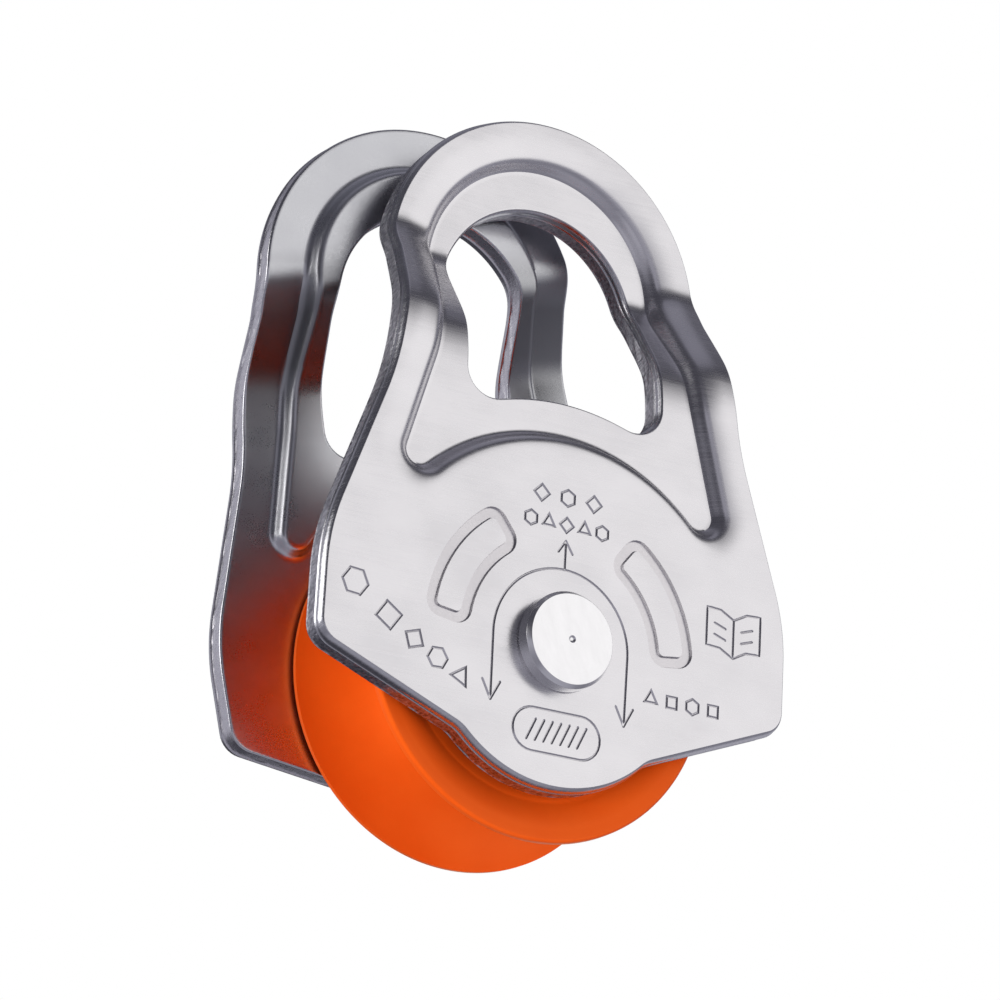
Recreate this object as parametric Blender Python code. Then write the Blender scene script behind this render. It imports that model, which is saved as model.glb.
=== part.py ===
"""Rope pulley with two swinging side plates, a moulded sheave and a headed axle.

World frame: +Z is up along the front plate's centre line, Y runs along the axle
with the front at -Y. The origin is the bearing point of the front eye, so the
axle lies straight below it. Lengths are in metres; the constants are millimetres
times MM.
"""
import math

import bpy
from mathutils import Matrix, Vector
from mathutils.geometry import delaunay_2d_cdt

MM = 0.001

# ---- axle and overall stack -------------------------------------------------
EYE_TOP = 53.35 * MM            # eye bearing point above the axle
AXLE_Z = -EYE_TOP               # height of the axle in the world frame
GAP = 0.3 * MM                  # running gap between neighbouring pieces
PLATE_OUTER = 13.3 * MM         # outer face of a plate from the middle plane
PLATE_T = 3.5 * MM              # sheet thickness measured along the axle
PLATE_INNER = PLATE_OUTER - PLATE_T
SWING_REAR = math.radians(14.5)  # the rear plate's swing from the front plate

# ---- plate outline, half of it from the top round to the bottom: x, z, fillet ----
HEAD_R = 20.0 * MM              # rounded top of the plate
HEAD_Z = 44.0 * MM
WAIST = (22.3 * MM, 27.1 * MM)
HIP = (29.0 * MM, 7.5 * MM)
FOOT_Z = -4.4 * MM
BUMP_R = 16.2 * MM              # bottom bump, concentric with the axle
BUMP_HALF = math.radians(43.0)
BUMP_NECK = 0.8 * MM            # tangent length of the fillet beside the bump

# ---- eye, recess and joggle -------------------------------------------------
EYE_R = 12.2 * MM
EYE_SIDE = 12.25 * MM
EYE_FOOT_Z = 25.95 * MM
EYE_FOOT_R = 3.2 * MM
EYE_ARCH_R = 28.2 * MM
EYE_ARCH_HALF = math.radians(14.4)
RECESS_D = 1.6 * MM             # depth of the pressed recess round the eye
RECESS_STEP = 2.0 * MM          # width of its sloped border
RECESS_R = 15.6 * MM
RECESS_WAIST = (17.7 * MM, 31.0 * MM)
RECESS_TIP = (23.2 * MM, 10.2 * MM)
RECESS_TIP_R = 2.2 * MM
ARCH_R = 23.5 * MM              # lower border, concentric with the axle
ARCH_HALF = math.radians(45.0)
JOGGLE = 7.7 * MM               # inward set of the upper part
JOGGLE_LOW = 33.9 * MM          # start of the joggle above the axle
JOGGLE_HIGH = 47.6 * MM         # end of the joggle on the rim
JOGGLE_HIGH_IN = 45.4 * MM      # end of the joggle inside the recess
BEND = 0.13                     # share of the ramp taken by each rounded bend

# ---- small plate details ----------------------------------------------------
EDGE_OUT = 0.6 * MM             # rolled outer edge
EDGE_IN = 0.2 * MM              # broken inner edge
BORE_R = 3.8 * MM
KIDNEY_IN = 11.2 * MM           # curved grooves beside the axle
KIDNEY_OUT = 16.8 * MM
KIDNEY_FROM = math.radians(30.0)
KIDNEY_TO = math.radians(90.0)
KIDNEY_W = 1.3 * MM
KIDNEY_D = 0.25 * MM
KIDNEY_CORNER = 1.9 * MM

# ---- axle -------------------------------------------------------------------
PIN_R = 3.5 * MM
HEAD_FLANGE_R = 5.4 * MM
HEAD_FACE_R = 5.15 * MM
HEAD_FACE_Y = 15.76 * MM
RIVET_R = 4.2 * MM
RIVET_LEN = 0.9 * MM

# ---- sheave, bushes, washers ------------------------------------------------
SHEAVE_R = 21.0 * MM            # flange radius
ROOT_R = 10.5 * MM              # groove-bottom radius, a 21 mm sheave
RIM_Y = 8.4 * MM                # groove half-width at the flange rim
FLANGE_Y = 9.3 * MM             # outer side of the flange
RIM_ROUND = 0.5 * MM
DISH_R = 16.4 * MM              # the side faces are dished down to this radius
DISH_Y = 8.3 * MM
POCKET_R = 8.9 * MM             # inner end of the ribbed pockets
POCKET_Y = 4.0 * MM
WEB_T = 1.2 * MM                # wall between a pocket and the groove
HUB_Y = 7.0 * MM
RIBS = 6
RIB_PHASE = math.radians(-23.0)
RIB_HALF = 0.6 * MM
SLEEVE_R = 5.0 * MM
BUSH_IN = SLEEVE_R + GAP
BUSH_OUT = 6.3 * MM
BUSH_FLANGE_R = 7.9 * MM
BUSH_FLANGE_T = 0.9 * MM
BUSH_GAP = 0.5 * MM             # half of the space between the two bushes
WASHER_T = 0.7 * MM
WASHER_R = 8.2 * MM

TURN_STEPS = 48                 # facets of a turned piece
SMALL_STEPS = 32                # facets of the plate bore
ARC_STEP = math.radians(9.0)    # facet angle along fillets
MERGE = 0.02 * MM               # points closer than this are one


def clear_scene():
    """Remove every object of the starting scene."""
    for obj in list(bpy.data.objects):
        bpy.data.objects.remove(obj, do_unlink=True)


def make_material(name, colour, roughness, metallic):
    """Principled material with a plain colour."""
    mat = bpy.data.materials.new(name)
    mat.use_nodes = True
    shader = mat.node_tree.nodes["Principled BSDF"]
    shader.inputs["Base Color"].default_value = (*colour, 1.0)
    shader.inputs["Roughness"].default_value = roughness
    shader.inputs["Metallic"].default_value = metallic
    mat.diffuse_color = (*colour, 1.0)
    return mat


def add_object(name, verts, faces, mat):
    """Object with its origin on the axle, at AXLE_Z below the eye."""
    mesh = bpy.data.meshes.new(name)
    mesh.from_pydata(verts, [], faces)
    mesh.update()
    mesh.materials.append(mat)
    obj = bpy.data.objects.new(name, mesh)
    bpy.context.collection.objects.link(obj)
    obj.location = (0.0, 0.0, AXLE_Z)
    return obj


# ---- plane geometry ---------------------------------------------------------
def mirrored(half):
    """Closed corner list from its right half, listed from top to bottom."""
    left = [(-x, z, r) for x, z, r in reversed(half) if abs(x) > 1e-9]
    return list(half) + left


def rounded(corners):
    """Polyline of a closed polygon whose corners (x, z, radius) are filleted."""
    points = []
    count = len(corners)
    for i, (x, z, radius) in enumerate(corners):
        here = Vector((x, z))
        to_prev = (Vector(corners[i - 1][:2]) - here).normalized()
        to_next = (Vector(corners[(i + 1) % count][:2]) - here).normalized()
        angle = to_prev.angle(to_next)
        centre = here + (to_prev + to_next).normalized() * (radius / math.sin(angle / 2.0))
        reach = radius / math.tan(angle / 2.0)
        start = here + to_prev * reach - centre
        turn = start.angle_signed(here + to_next * reach - centre)
        steps = max(2, math.ceil(abs(turn) / ARC_STEP))
        for k in range(steps + 1):
            a = -turn * k / steps
            spun = Matrix.Rotation(a, 2) @ start
            points.append(centre + spun)
    return tidy_loop(points)


def tidy_loop(points):
    """Drop points that repeat the one before them."""
    kept = []
    for p in points:
        if not kept or (p - kept[-1]).length > MERGE:
            kept.append(p)
    if (kept[0] - kept[-1]).length < MERGE:
        kept.pop()
    return kept


def signed_area(loop):
    """Positive for a loop that runs anticlockwise in x, z."""
    total = 0.0
    for a, b in zip(loop, loop[1:] + loop[:1]):
        total += a.x * b.y - b.x * a.y
    return total / 2.0


def inset(loop, distance):
    """Loop moved inwards by distance along the mean of its edge normals."""
    side = 1.0 if signed_area(loop) > 0.0 else -1.0
    moved = []
    count = len(loop)
    for i, p in enumerate(loop):
        before = (p - loop[i - 1]).normalized()
        after = (loop[(i + 1) % count] - p).normalized()
        along = (before + after).normalized()
        normal = Vector((-along.y, along.x)) * side
        moved.append(p + normal * (distance / max(0.5, before.dot(along))))
    return moved


def circle(radius, steps):
    """Circle round the axle."""
    return [Vector((radius * math.cos(a), radius * math.sin(a)))
            for a in (2.0 * math.pi * k / steps for k in range(steps))]


def inside(p, loop):
    """Even-odd test of a point against a closed loop."""
    hit = False
    for a, b in zip(loop, loop[1:] + loop[:1]):
        if (a.y > p.y) != (b.y > p.y):
            if p.x < a.x + (p.y - a.y) / (b.y - a.y) * (b.x - a.x):
                hit = not hit
    return hit


def distance_to(p, loop):
    """Distance from a point to a closed loop, positive inside it."""
    best = 1.0
    for a, b in zip(loop, loop[1:] + loop[:1]):
        edge = b - a
        t = max(0.0, min(1.0, (p - a).dot(edge) / edge.length_squared))
        best = min(best, (a + edge * t - p).length)
    return best if inside(p, loop) else -best


def smooth(t):
    """Smooth step from 0 to 1."""
    t = max(0.0, min(1.0, t))
    return t * t * (3.0 - 2.0 * t)


# ---- side plates ------------------------------------------------------------
def plate_outline():
    """Outer contour of a plate."""
    neck = BUMP_R * math.sin(BUMP_HALF) + BUMP_NECK * math.cos(BUMP_HALF)
    neck_z = -BUMP_R * math.cos(BUMP_HALF) + BUMP_NECK * math.sin(BUMP_HALF)
    half = [(HEAD_R, HEAD_Z + HEAD_R, HEAD_R * 0.999),
            (HEAD_R, HEAD_Z - 0.9 * MM, 8.0 * MM),
            (*WAIST, 35.0 * MM),
            (*HIP, 25.0 * MM),
            (HIP[0], FOOT_Z, 3.0 * MM),
            (neck, neck_z, 4.0 * MM),
            (0.0, -BUMP_R / math.cos(BUMP_HALF), BUMP_R)]
    return rounded(mirrored(half))


def eye_outline():
    """Contour of the eye; its foot is an arch concentric with the axle."""
    half = [(EYE_SIDE, EYE_TOP, EYE_R),
            (EYE_SIDE, EYE_FOOT_Z, EYE_FOOT_R),
            (0.0, EYE_ARCH_R / math.cos(EYE_ARCH_HALF), EYE_ARCH_R)]
    return rounded(mirrored(half))


def recess_outline():
    """Middle line of the recess border, with a lobe at each foot."""
    half = [(RECESS_R, HEAD_Z + RECESS_R, RECESS_R * 0.999),
            (RECESS_R, HEAD_Z - 1.2 * MM, 10.0 * MM),
            (*RECESS_WAIST, 20.0 * MM),
            (*RECESS_TIP, RECESS_TIP_R),
            (0.0, ARCH_R / math.cos(ARCH_HALF), ARCH_R)]
    return rounded(mirrored(half))


def kidney_outline(side):
    """Outer border of a curved groove on one side of the axle."""
    mean = (KIDNEY_IN + KIDNEY_OUT) / 2.0
    half_w = (KIDNEY_OUT - KIDNEY_IN) / 2.0 - KIDNEY_CORNER
    trim = KIDNEY_CORNER / mean
    path = []
    for radius, sign in ((mean + half_w, 1.0), (mean - half_w, -1.0)):
        start, end = KIDNEY_FROM + trim, KIDNEY_TO - trim
        if sign < 0.0:
            start, end = end, start
        for k in range(7):
            a = start + (end - start) * k / 6.0
            path.append(Vector((math.sin(a) * radius, math.cos(a) * radius)))
    grown = []
    count = len(path)
    for i, p in enumerate(path):
        before = (p - path[i - 1]).normalized()
        after = (path[(i + 1) % count] - p).normalized()
        mean_way = (before + after).normalized()
        ways = (before, mean_way, after) if before.dot(after) < 0.7 else (mean_way,)
        for along in ways:
            grown.append(p + Vector((-along.y, along.x)) * KIDNEY_CORNER)
    return [Vector((side * p.x, p.y)) for p in grown]


def ramp(z, high):
    """Share of the joggle reached at height z, with rounded bends."""
    t = max(-BEND, min(1.0 + BEND, (z - JOGGLE_LOW) / (high - JOGGLE_LOW)))
    if t < BEND:
        return BEND * ((t + BEND) / (2.0 * BEND)) ** 2
    if t > 1.0 - BEND:
        return 1.0 - BEND * ((1.0 + BEND - t) / (2.0 * BEND)) ** 2
    return t


def bend_heights():
    """Heights of the lines where the joggle changes its slope."""
    heights = []
    for high in (JOGGLE_HIGH, JOGGLE_HIGH_IN):
        span = high - JOGGLE_LOW
        for bend in (0.0, 1.0):
            for t in (-BEND, -BEND / 3.0, BEND / 3.0, BEND):
                heights.append(JOGGLE_LOW + span * (bend + t))
    heights.sort()
    kept = []
    for z in heights:
        if not kept or z - kept[-1] > 0.35 * MM:
            kept.append(z)
    return kept


class PlateForm:
    """Contours of a plate and the depth of its outer face."""

    def __init__(self):
        self.outline = plate_outline()
        self.eye = eye_outline()
        self.recess = recess_outline()
        self.bore = circle(BORE_R, SMALL_STEPS)
        self.kidneys = [kidney_outline(1.0), kidney_outline(-1.0)]

    def loops(self):
        """Every contour that the faces' triangles have to follow."""
        wide = RECESS_STEP / 2.0
        found = [self.outline, inset(self.outline, EDGE_OUT), self.eye, self.bore]
        found += [inset(self.recess, d) for d in (-wide, -wide / 3.0, wide / 3.0, wide)]
        for kidney in self.kidneys:
            found += [inset(kidney, d) for d in (0.0, KIDNEY_W * 0.3, KIDNEY_W * 0.7, KIDNEY_W)]
        return found

    def depth(self, p):
        """Depth of the sheet's outer face below PLATE_OUTER."""
        into = smooth(distance_to(p, self.recess) / RECESS_STEP + 0.5)
        high = JOGGLE_HIGH + (JOGGLE_HIGH_IN - JOGGLE_HIGH) * into
        return JOGGLE * ramp(p.y, high) + RECESS_D * into

    def groove(self, p):
        """Extra depth of the curved grooves, on the outer face only."""
        for kidney in self.kidneys:
            d = distance_to(p, kidney)
            if 0.2 * KIDNEY_W < d < 0.8 * KIDNEY_W:
                return KIDNEY_D
        return 0.0


def plan_triangles(form):
    """Triangulated plan of a plate: points, triangles and the border loops."""
    coords = []
    edges = []
    for loop in form.loops():
        first = len(coords)
        coords += loop
        edges += [(first + i, first + (i + 1) % len(loop)) for i in range(len(loop))]
    for z in bend_heights():
        first = len(coords)
        coords += [Vector((-HEAD_R * 1.3, z)), Vector((HEAD_R * 1.3, z))]
        edges.append((first, first + 1))
    out = delaunay_2d_cdt(coords, edges, [], 0, MERGE, False)
    points, faces = out[0], out[2]
    kept = []
    for face in faces:
        mid = sum((points[i] for i in face), Vector((0.0, 0.0))) / len(face)
        if inside(mid, form.outline) and not inside(mid, form.eye) and not inside(mid, form.bore):
            kept.append(tuple(face))
    return points, kept


def build_plate(name, side, swing, mat, form, plan):
    """Side plate; side is -1 for the front one, +1 for the rear one."""
    points, tris = plan
    used = sorted({i for tri in tris for i in tri})
    index = {old: new for new, old in enumerate(used)}
    verts = []
    turn = Matrix.Rotation(-swing, 3, "Y")
    for layer in (0, 1):
        for old in used:
            p = points[old]
            depth = form.depth(p) + (PLATE_T if layer else 0.0)
            on_rim = abs(distance_to(p, form.outline)) < MERGE
            if layer == 0:
                depth += form.groove(p) + (EDGE_OUT if on_rim else 0.0)
            elif on_rim:
                depth -= EDGE_IN
            verts.append(turn @ Vector((p.x, side * (PLATE_OUTER - depth), p.y)))
    shift = len(used)
    faces = []
    border = {}
    for tri in tris:
        a, b, c = (index[i] for i in tri)
        outer = (a, b, c) if side < 0 else (c, b, a)
        faces.append(outer)
        faces.append(tuple(i + shift for i in reversed(outer)))
        for u, v in zip(outer, outer[1:] + outer[:1]):
            border[(u, v)] = border.get((u, v), 0) + 1
    for u, v in border:
        if (v, u) not in border:
            faces.append((v, u, u + shift, v + shift))
    return add_object(name, verts, faces, mat)


# ---- turned pieces ----------------------------------------------------------
def turned(name, profile, mat, steps=TURN_STEPS):
    """Ring or disc turned round the axle from a closed (radius, y) profile."""
    verts = []
    rows = []
    for radius, y in profile:
        if radius < 1e-7:
            rows.append([len(verts)] * steps)
            verts.append((0.0, y, 0.0))
            continue
        rows.append(list(range(len(verts), len(verts) + steps)))
        for k in range(steps):
            a = 2.0 * math.pi * k / steps
            verts.append((radius * math.sin(a), y, radius * math.cos(a)))
    faces = []
    for row, after in zip(rows, rows[1:] + rows[:1]):
        for k in range(steps):
            j = (k + 1) % steps
            quad = []
            for i in (row[k], row[j], after[j], after[k]):
                if i not in quad:
                    quad.append(i)
            if len(quad) > 2:
                faces.append(quad)
    return add_object(name, verts, faces, mat)


def build_pin(mat):
    """Axle pin with its front head and the flared tail that holds the collar."""
    face = -HEAD_FACE_Y
    under = -PLATE_OUTER - GAP
    tail = HEAD_FACE_Y
    chamfer = HEAD_FLANGE_R - HEAD_FACE_R
    profile = [(0.0, face), (HEAD_FACE_R, face), (HEAD_FLANGE_R, face + chamfer),
               (HEAD_FLANGE_R, under), (PIN_R, under), (PIN_R, tail - RIVET_LEN),
               (RIVET_R, tail - 0.1 * MM), (RIVET_R, tail), (0.0, tail)]
    return turned("axle_pin", profile, mat)


def build_collar(mat):
    """Rear head, a countersunk collar over the pin's tail."""
    tail = HEAD_FACE_Y
    under = PLATE_OUTER + GAP
    chamfer = HEAD_FLANGE_R - HEAD_FACE_R
    bore = PIN_R + GAP
    seat = RIVET_R + GAP
    profile = [(bore, under), (HEAD_FLANGE_R, under), (HEAD_FLANGE_R, tail - chamfer),
               (HEAD_FACE_R, tail), (seat, tail), (seat, tail - 0.1 * MM - GAP),
               (bore, tail - RIVET_LEN - GAP)]
    return turned("axle_collar", profile, mat)


def build_sleeve(mat):
    """Spacer tube over the pin that keeps the plates apart."""
    end = PLATE_INNER - GAP
    bore = PIN_R + GAP
    profile = [(bore, -end), (SLEEVE_R, -end), (SLEEVE_R, end), (bore, end)]
    return turned("axle_sleeve", profile, mat)


def build_washer(name, side, mat):
    """Thrust washer between a bush flange and a plate."""
    outer = side * (PLATE_INNER - GAP)
    inner = side * (PLATE_INNER - GAP - WASHER_T)
    profile = [(BUSH_IN, outer), (WASHER_R, outer), (WASHER_R, inner), (BUSH_IN, inner)]
    return turned(name, profile if side < 0 else profile[::-1], mat)


def build_bush(name, side, mat):
    """Flanged plain bush pressed into one side of the sheave."""
    outer = side * (PLATE_INNER - 2.0 * GAP - WASHER_T)
    inner = side * (PLATE_INNER - 2.0 * GAP - WASHER_T - BUSH_FLANGE_T)
    end = side * BUSH_GAP
    profile = [(BUSH_IN, outer), (BUSH_FLANGE_R, outer), (BUSH_FLANGE_R, inner),
               (BUSH_OUT, inner), (BUSH_OUT, end), (BUSH_IN, end)]
    return turned(name, profile if side < 0 else profile[::-1], mat)


# ---- sheave -----------------------------------------------------------------
def groove_half_width(radius):
    """Half-width of the rope groove at a radius."""
    share = (SHEAVE_R - radius) / (SHEAVE_R - ROOT_R)
    return RIM_Y * math.sqrt(max(0.0, 1.0 - share * share))


def groove_points():
    """Half-ellipse rope groove from the front rim to the rear rim."""
    points = []
    steps = 16
    for k in range(1, steps):
        a = math.pi * k / steps
        radius = SHEAVE_R - (SHEAVE_R - ROOT_R) * math.sin(a)
        points.append((radius, -RIM_Y * math.cos(a)))
    return points


def sheave_side(side, in_pocket):
    """Profile of one side face, from the bore out over the rim."""
    inner = HUB_Y if not in_pocket else POCKET_Y
    points = [(BUSH_OUT + GAP, HUB_Y), (POCKET_R - 0.6 * MM, HUB_Y), (POCKET_R, inner)]
    for k in range(1, 5):
        radius = POCKET_R + (DISH_R - POCKET_R) * k / 5.0
        floor = max(POCKET_Y, groove_half_width(radius) + WEB_T)
        rib = HUB_Y + (DISH_Y - HUB_Y) * k / 5.0
        points.append((radius, min(floor, rib - 0.05 * MM) if in_pocket else rib))
    points += [(DISH_R, DISH_Y), (SHEAVE_R - 1.4 * MM, FLANGE_Y - 0.15 * MM),
               (SHEAVE_R - RIM_ROUND, FLANGE_Y), (SHEAVE_R - 0.1 * MM, FLANGE_Y - 0.3 * MM),
               (SHEAVE_R - 0.02 * MM, RIM_Y)]
    return [(radius, side * y) for radius, y in points]


def build_sheave(mat):
    """Moulded sheave with a deep groove and ribbed pockets in both sides."""
    groove = groove_points()
    rib_turn = RIB_HALF / ((POCKET_R + DISH_R) / 2.0)
    slope_turn = rib_turn * 1.4
    steps = 9
    columns = []
    verts = []
    for r in range(RIBS):
        middle = RIB_PHASE + 2.0 * math.pi * r / RIBS
        span = 2.0 * math.pi / RIBS - 2.0 * slope_turn
        turns = [(middle - rib_turn, False), (middle + rib_turn, False)]
        turns += [(middle + slope_turn + span * k / steps, True) for k in range(steps + 1)]
        for angle, pocket in turns:
            profile = sheave_side(-1.0, pocket) + groove + sheave_side(1.0, pocket)[::-1]
            columns.append(range(len(verts), len(verts) + len(profile)))
            verts += [(rad * math.sin(angle), y, -rad * math.cos(angle)) for rad, y in profile]
    faces = []
    for column, after in zip(columns, columns[1:] + columns[:1]):
        count = len(column)
        for i in range(count):
            j = (i + 1) % count
            faces.append((column[i], after[j], after[i]))
            faces.append((column[i], column[j], after[j]))
    return add_object("sheave", verts, faces, mat)


def main():
    """Build every piece in the shared frame."""
    clear_scene()
    front_metal = make_material("brushed_aluminium_front", (0.74, 0.73, 0.74), 0.32, 1.0)
    rear_metal = make_material("brushed_aluminium_rear", (0.72, 0.71, 0.72), 0.32, 1.0)
    orange = make_material("orange_nylon", (0.90, 0.16, 0.015), 0.42, 0.0)
    steel = make_material("polished_steel_pin", (0.82, 0.82, 0.82), 0.16, 1.0)
    collar = make_material("polished_steel_collar", (0.80, 0.80, 0.80), 0.18, 1.0)
    sleeve = make_material("ground_steel_sleeve", (0.62, 0.62, 0.64), 0.30, 1.0)
    bush_front = make_material("bush_liner_front", (0.30, 0.24, 0.16), 0.55, 0.3)
    bush_rear = make_material("bush_liner_rear", (0.29, 0.23, 0.16), 0.55, 0.3)
    washer_front = make_material("acetal_washer_front", (0.08, 0.08, 0.085), 0.50, 0.0)
    washer_rear = make_material("acetal_washer_rear", (0.085, 0.085, 0.09), 0.50, 0.0)

    form = PlateForm()
    plan = plan_triangles(form)
    build_plate("front_cheek", -1.0, 0.0, front_metal, form, plan)
    build_plate("rear_cheek", 1.0, SWING_REAR, rear_metal, form, plan)
    build_sheave(orange)
    build_pin(steel)
    build_collar(collar)
    build_sleeve(sleeve)
    build_bush("front_bush", -1.0, bush_front)
    build_bush("rear_bush", 1.0, bush_rear)
    build_washer("front_washer", -1.0, washer_front)
    build_washer("rear_washer", 1.0, washer_rear)


main()
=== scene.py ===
"""Rope pulley: detailed pieces, materials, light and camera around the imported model.

Plan coordinates are (x, z) measured from the axle in the plane of a side plate, in
metres; the constants are millimetres times MM.
"""

import math

import bmesh
import bpy
import numpy as np
from mathutils import Matrix, Vector
from mathutils.geometry import delaunay_2d_cdt


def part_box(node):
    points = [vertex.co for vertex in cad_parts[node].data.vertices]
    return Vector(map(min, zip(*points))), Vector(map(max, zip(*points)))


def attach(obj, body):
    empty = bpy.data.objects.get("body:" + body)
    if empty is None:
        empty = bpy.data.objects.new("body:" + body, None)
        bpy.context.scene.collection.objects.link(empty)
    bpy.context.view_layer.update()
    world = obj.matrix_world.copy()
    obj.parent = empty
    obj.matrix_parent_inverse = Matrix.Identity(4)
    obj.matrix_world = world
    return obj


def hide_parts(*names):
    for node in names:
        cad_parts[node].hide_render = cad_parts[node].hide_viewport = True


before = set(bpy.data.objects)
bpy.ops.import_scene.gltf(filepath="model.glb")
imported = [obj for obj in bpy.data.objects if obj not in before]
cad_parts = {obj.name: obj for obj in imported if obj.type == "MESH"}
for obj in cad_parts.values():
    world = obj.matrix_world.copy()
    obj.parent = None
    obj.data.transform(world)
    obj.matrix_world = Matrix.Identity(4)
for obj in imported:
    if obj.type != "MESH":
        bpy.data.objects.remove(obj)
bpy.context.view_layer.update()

MM = 0.001
PIN_LOW, PIN_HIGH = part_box("axle_pin")
AXLE_Z = (PIN_LOW.z + PIN_HIGH.z) / 2.0
HEAD_Y = -PIN_LOW.y                     # front face of the axle head
PLATE_OUTER = -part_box("front_cheek")[0].y
SWING_REAR = math.radians(14.5)         # turn of the rear plate at rest

# ---- plate contours ---------------------------------------------------------
PLATE_T = 3.5 * MM
HEAD_R = 20.0 * MM
HEAD_Z = 44.0 * MM
WAIST = (22.3 * MM, 27.1 * MM)
HIP = (29.0 * MM, 7.5 * MM)
FOOT_Z = -4.4 * MM
BUMP_R = 16.2 * MM
BUMP_HALF = math.radians(43.0)
BUMP_NECK = 0.8 * MM
EYE_TOP = -AXLE_Z
EYE_R = 12.2 * MM
EYE_SIDE = 12.25 * MM
EYE_FOOT_Z = 25.95 * MM
EYE_FOOT_R = 3.2 * MM
EYE_ARCH_R = 28.2 * MM
EYE_ARCH_HALF = math.radians(14.4)
BORE_R = 3.8 * MM

# ---- pressed recess and joggle ----------------------------------------------
RECESS_D = 1.6 * MM
# slopes across the recess border: distance from its middle line in mm, relative slope
STEEP_SLOPES = ((-1.7, 0.0), (-0.9, 0.10), (-0.4, 0.45), (-0.1, 1.0), (0.25, 1.0), (0.6, 0.0))
SHOULDER_SLOPES = ((-3.3, 0.03), (-0.9, 0.17), (-0.55, 0.45), (-0.1, 1.0), (0.3, 1.0), (0.75, 0.0))
INNER_SLOPES = ((-0.7, 0.0), (-0.25, 0.35), (0.05, 1.0), (0.25, 1.0), (0.5, 0.25), (0.9, 0.0))
# distances from that line that get their own row of points, in mm
BORDER_ROWS = (-3.2, -2.6, -2.1, -1.6, -1.2, -0.9, -0.6, -0.35, -0.15,
               0.0, 0.12, 0.25, 0.4, 0.6, 0.85, 1.1)
SHOULDER_NEAR = 6.0 * MM        # the shoulder is full this near the outer contour
SHOULDER_FAR = 10.0 * MM        # and has gone this far from it
RECESS_R = 14.8 * MM
RECESS_WAIST = (16.7 * MM, 31.0 * MM)
RECESS_TIP = (22.1 * MM, 11.4 * MM)
RECESS_TIP_R = 2.2 * MM
ARCH_R = 23.3 * MM
ARCH_HALF = math.radians(45.0)
JOGGLE = 7.7 * MM
JOGGLE_LOW = 35.0 * MM
JOGGLE_LOW_IN = 33.9 * MM
JOGGLE_HIGH = 46.9 * MM
JOGGLE_HIGH_IN = 44.6 * MM
# slopes up the joggle: share of the way from its low to its high end, relative slope
JOGGLE_SLOPES = ((-0.40, 0.0), (0.0, 0.3), (0.25, 0.9), (0.4, 1.0), (0.86, 1.0), (1.12, 0.0))

# ---- edges of the sheet -----------------------------------------------------
ROLL_NOSE = 0.12 * MM           # tight bend where the outer face meets its rolled edge
ROLL_BODY = 1.6 * MM            # radius of the rolled edge behind it
ROLL_TURN = math.radians(50.0)  # turn taken by the tight bend
EYE_BODY = 1.1 * MM
BORE_BODY = 0.4 * MM
BACK_R = 0.25 * MM              # broken edge of the inner face
FLAT_HEM = 0.1 * MM             # narrow flat strip beside a rolled edge
SHEAR_AT = 1.3 * MM             # depth where the smooth shear ends and the tear begins
SHEAR_LIP = 0.10 * MM
LIP_T = 0.26 * MM
TEAR_IN = 0.06 * MM
TEAR_ROUGH = 0.045 * MM

# ---- curved grooves beside the axle -----------------------------------------
KIDNEY_IN = 11.2 * MM
KIDNEY_OUT = 16.8 * MM
KIDNEY_FROM = math.radians(30.0)
KIDNEY_TO = math.radians(90.0)
KIDNEY_CORNER = 1.9 * MM
KIDNEY_W = 1.3 * MM
KIDNEY_D = 0.35 * MM
KIDNEY_WALL = 0.13 * MM

STROKE_W = 0.30 * MM
STROKE_D = 0.11 * MM
PITCH = 0.45 * MM               # spacing of points along contours
GRID = 0.62 * MM                # spacing of points on the faces
WELD = 0.002 * MM
SHARP = math.radians(27.0)      # edges that turn more than this are drawn sharp


# ---- plane geometry ---------------------------------------------------------
def mirrored(half):
    """Closed corner list from its right half, listed from top to bottom."""
    return list(half) + [(-x, z, r) for x, z, r in reversed(half) if abs(x) > 1e-9]


def rounded(corners, pitch=PITCH):
    """Closed polyline (n, 2) of a polygon whose corners (x, z, radius) are filleted."""
    points = []
    count = len(corners)
    for i, (x, z, radius) in enumerate(corners):
        here = Vector((x, z))
        to_prev = (Vector(corners[i - 1][:2]) - here).normalized()
        to_next = (Vector(corners[(i + 1) % count][:2]) - here).normalized()
        angle = to_prev.angle(to_next)
        centre = here + (to_prev + to_next).normalized() * (radius / math.sin(angle / 2.0))
        reach = radius / math.tan(angle / 2.0)
        start = here + to_prev * reach - centre
        turn = start.angle_signed(here + to_next * reach - centre)
        steps = max(4, math.ceil(abs(turn) * radius / pitch))
        for k in range(steps + 1):
            points.append(centre + Matrix.Rotation(-turn * k / steps, 2) @ start)
    return resampled(np.array([tuple(p) for p in points]), pitch, True)


def resampled(path, pitch, closed):
    """Path with no gap longer than the pitch and no repeated points."""
    ends = np.roll(path, -1, axis=0) if closed else path[1:]
    found = []
    for a, b in zip(path, ends):
        length = np.linalg.norm(b - a)
        if length < WELD:
            continue
        steps = math.ceil(length / pitch - 1e-6)
        found += [a + (b - a) * k / steps for k in range(steps)]
    if not closed:
        found.append(path[-1])
    return np.array(found)


def inward(loop):
    """Unit normals of a closed loop, pointing inside it, scaled at the corners."""
    after = np.roll(loop, -1, axis=0) - loop
    after /= np.linalg.norm(after, axis=1)[:, None]
    before = np.roll(after, 1, axis=0)
    along = before + after
    along /= np.linalg.norm(along, axis=1)[:, None]
    area = np.sum(loop[:, 0] * np.roll(loop[:, 1], -1) - np.roll(loop[:, 0], -1) * loop[:, 1])
    normal = np.column_stack((-along[:, 1], along[:, 0])) * math.copysign(1.0, area)
    return normal / np.maximum(0.5, np.sum(before * along, axis=1))[:, None]


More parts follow.
